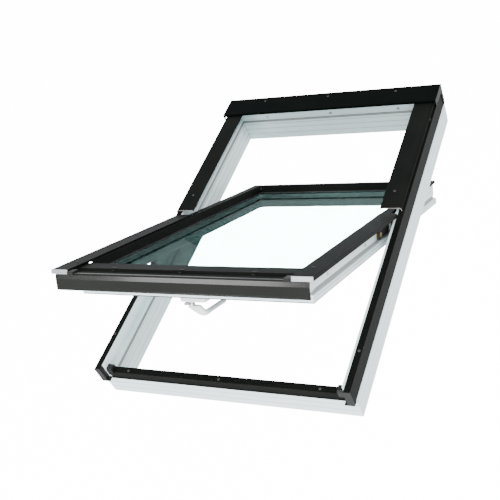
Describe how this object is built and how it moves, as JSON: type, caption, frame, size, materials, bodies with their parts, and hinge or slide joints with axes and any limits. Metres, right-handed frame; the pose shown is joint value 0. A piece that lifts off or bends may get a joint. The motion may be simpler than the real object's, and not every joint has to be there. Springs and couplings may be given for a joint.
{
  "type": "centre-pivot roof skylight",
  "caption": "Centre-pivot roof skylight: fixed frame with dark outside cladding, covers and hood, and a double-glazed white sash that swings about side hinges and locks with a lever handle.",
  "frame": {"origin": "centre of the fixed frame, in the plane of its room side edge", "axes": "+X across the window to its right as seen from outside with the hood at the top, +Y up the roof slope towards the hood, +Z out of the roof, square to the pane when shut"},
  "size_m": [0.782, 1.2025, 0.6956],
  "materials": {
    "pvc_white": "smooth white PVC",
    "seal_grey": "grey sealing lip",
    "clad_umbra": "satin dark grey coated aluminium sheet",
    "clad_hood": "satin dark grey coated aluminium sheet",
    "plastic_black": "moulded black plastic",
    "steel_zinc": "zinc plated",
    "steel_bright": "turned steel",
    "hinge_yellow": "yellow passivated steel",
    "gasket_black": "black sealing gasket",
    "glass_clear": "clear float glass",
    "spacer_alu": "mill finish",
    "handle_white": "smooth white lacquer"
  },
  "bodies": {
    "frame": {"frame_pvc": "pvc_white", "frame_seal": "seal_grey", "frame_bottom_cladding": "clad_umbra", "side_cladding_left": "clad_umbra", "side_cladding_right": "clad_umbra", "end_cap_left": "plastic_black", "end_cap_right": "plastic_black", "cladding_rivets": "steel_zinc", "head_hood": "clad_hood", "hood_end_left": "plastic_black", "hood_end_right": "plastic_black", "hood_spacers": "plastic_black", "hood_screws": "steel_zinc", "upper_cover_left": "clad_umbra", "upper_cover_right": "clad_umbra", "cover_bracket_left": "steel_zinc", "cover_bracket_right": "steel_zinc", "upper_cover_clips": "plastic_black", "upper_cover_screws": "steel_zinc", "bottom_cladding_screws": "steel_zinc", "corner_blocks": "plastic_black", "head_plugs": "spacer_alu", "lock_striker": "steel_zinc", "striker_screws": "steel_zinc", "hinge_frame_plate_left": "plastic_black", "hinge_frame_plate_right": "plastic_black", "pivot_pin_left": "steel_bright", "pivot_pin_right": "steel_bright", "hinge_frame_screws": "steel_zinc"},
    "sash": {"sash_pvc": "pvc_white", "inner_pane": "glass_clear", "outer_pane": "glass_clear", "pane_spacer": "spacer_alu", "outer_gasket": "gasket_black", "inner_gasket": "gasket_black", "sash_cladding_left": "clad_umbra", "sash_cladding_right": "clad_umbra", "sash_cladding_top": "clad_umbra", "sash_seal": "seal_grey", "sash_inner_gasket": "gasket_black", "sash_cover_left": "clad_umbra", "sash_cover_right": "clad_umbra", "cover_end_left": "spacer_alu", "cover_end_right": "spacer_alu", "sash_cover_clips": "plastic_black", "sash_cover_screws": "steel_zinc", "bottom_apron": "clad_umbra", "glazing_cap": "clad_umbra", "glazing_cap_clips": "plastic_black", "apron_clip_left": "plastic_black", "apron_clip_right": "plastic_black", "hinge_sash_plate_left": "hinge_yellow", "hinge_sash_plate_right": "hinge_yellow", "hinge_bodies": "plastic_black", "hinge_sash_screws": "steel_zinc", "sash_side_screws": "steel_zinc", "handle_base": "handle_white", "handle_screws": "steel_zinc"},
    "handle": {"handle_lever": "handle_white", "latch_cam": "steel_zinc"}
  },
  "joints": [
    {"name": "sash_pivot", "type": "hinge", "parent": "frame", "child": "sash", "pos_m": [0, 0, 0.128], "axis": [-1, 0, 0], "range_deg": [-31.8, 78.2]},
    {"name": "handle_turn", "type": "hinge", "parent": "sash", "child": "handle", "pos_m": [-0.01, -0.50956, 0.3404], "axis": [0, 0.527, 0.8499], "range_deg": [0, 90]}
  ]
}
